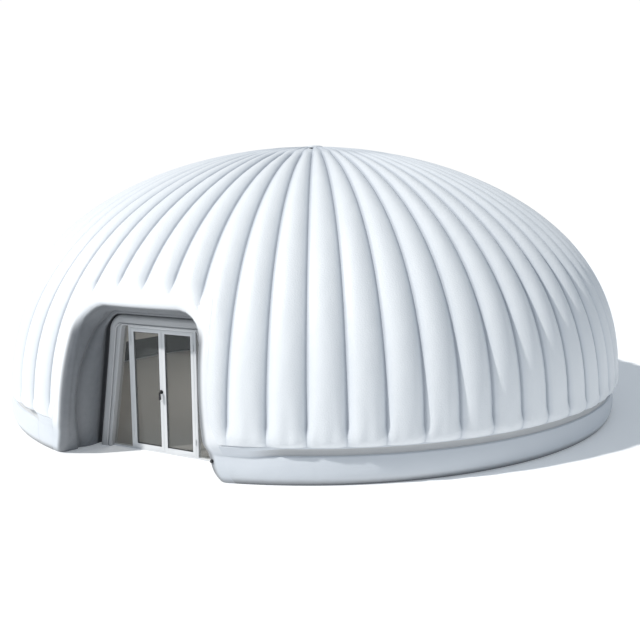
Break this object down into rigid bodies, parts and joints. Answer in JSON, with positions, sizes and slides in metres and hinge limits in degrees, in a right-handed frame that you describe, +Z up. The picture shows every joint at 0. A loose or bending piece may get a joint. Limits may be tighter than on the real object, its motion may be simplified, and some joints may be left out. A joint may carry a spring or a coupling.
{
  "type": "inflatable tent",
  "caption": "Large double-walled inflatable dome tent with ribbed skin, base ring and a recessed glazed double door.",
  "frame": {"origin": "where the dome's vertical axis meets the ground, under the ground sheet", "axes": "+Z up along the dome's axis, -Y towards the entrance, +X to the right of someone who faces the entrance from outside; the door opens towards -Y"},
  "size_m": [13.1554, 12.9469, 5.4887],
  "materials": {
    "white_skin": "satin coated fabric",
    "inner_wall": "matt coated fabric",
    "ring_skin": "satin heavy coated fabric",
    "grey_pad": "matt grey coated fabric",
    "floor_sheet": "matt groundsheet",
    "door_paint": "satin powder coat",
    "clear_glass": "clear",
    "bright_steel": "brushed",
    "black_plastic": "matt moulded"
  },
  "bodies": {
    "tent": {"outer_skin_front": "white_skin", "outer_skin_right_front": "white_skin", "outer_skin_right_side": "white_skin", "outer_skin_right_back": "white_skin", "outer_skin_left_back": "white_skin", "outer_skin_left_side": "white_skin", "outer_skin_left_front": "white_skin", "inner_wall_front": "inner_wall", "inner_wall_right_front": "inner_wall", "inner_wall_right_side": "inner_wall", "inner_wall_right_back": "inner_wall", "inner_wall_left_back": "inner_wall", "inner_wall_left_side": "inner_wall", "inner_wall_left_front": "inner_wall", "base_ring_right_front": "ring_skin", "base_ring_right_side": "ring_skin", "base_ring_right_back": "ring_skin", "base_ring_left_back": "ring_skin", "base_ring_left_side": "ring_skin", "base_ring_left_front": "ring_skin", "wall_web_1": "inner_wall", "wall_web_2": "inner_wall", "wall_web_3": "inner_wall", "wall_web_4": "inner_wall", "wall_web_5": "inner_wall", "wall_web_6": "inner_wall", "wall_web_7": "inner_wall", "ground_sheet": "floor_sheet", "recess_pad_left": "white_skin", "door_surround_left": "grey_pad", "recess_pad_right": "white_skin", "door_surround_right": "grey_pad", "recess_pad_top": "white_skin", "door_surround_top": "grey_pad", "surround_bead": "grey_pad", "jamb_left": "door_paint", "jamb_right": "door_paint", "frame_head": "door_paint", "threshold": "door_paint", "side_light_left": "clear_glass", "side_light_right": "clear_glass", "hinge_pin_left_low": "bright_steel", "hinge_pin_left_high": "bright_steel", "hinge_pin_right_low": "bright_steel", "hinge_pin_right_high": "bright_steel", "valve_body": "black_plastic", "crown_cap": "white_skin", "relief_valve": "black_plastic"},
    "left_leaf": {"leaf_frame_left": "door_paint", "leaf_glass_left": "clear_glass", "lock_cylinder": "bright_steel"},
    "right_leaf": {"leaf_frame_right": "door_paint", "leaf_glass_right": "clear_glass"},
    "handle": {"handle_outside": "black_plastic", "handle_inside": "black_plastic", "handle_spindle": "bright_steel"},
    "thumb_turn": {"thumb_turn": "black_plastic"},
    "dead_bolt": {"dead_bolt": "bright_steel"},
    "valve_cap": {"valve_cap": "black_plastic"}
  },
  "joints": [
    {"name": "left_leaf_hinge", "type": "hinge", "parent": "tent", "child": "left_leaf", "pos_m": [-0.6485, -5.4995, 1.07], "axis": [0, 0, -1], "range_deg": [0, 90]},
    {"name": "right_leaf_hinge", "type": "hinge", "parent": "tent", "child": "right_leaf", "pos_m": [0.6485, -5.4995, 1.07], "axis": [0, 0, 1], "range_deg": [0, 90]},
    {"name": "handle_turn", "type": "hinge", "parent": "left_leaf", "child": "handle", "pos_m": [-0.0315, -5.4675, 1.07], "axis": [0, 1, 0], "range_deg": [0, 90]},
    {"name": "lock_turn", "type": "hinge", "parent": "left_leaf", "child": "thumb_turn", "pos_m": [-0.0315, -5.445, 0.905], "axis": [0, 1, 0], "range_deg": [0, 90]},
    {"name": "bolt_slide", "type": "slide", "parent": "left_leaf", "child": "dead_bolt", "axis": [1, 0, 0], "range_m": [0, 0.02]},
    {"name": "valve_cap_turn", "type": "hinge", "parent": "tent", "child": "valve_cap", "pos_m": [1.52035, -6.27285, 0.3319], "axis": [-0.1662, -0.9822, 0.0879], "range_deg": [0, 90]}
  ],
  "couplings": [
    {"joint": "lock_turn", "follows": "bolt_slide", "rad_per_m": 78.54}
  ]
}
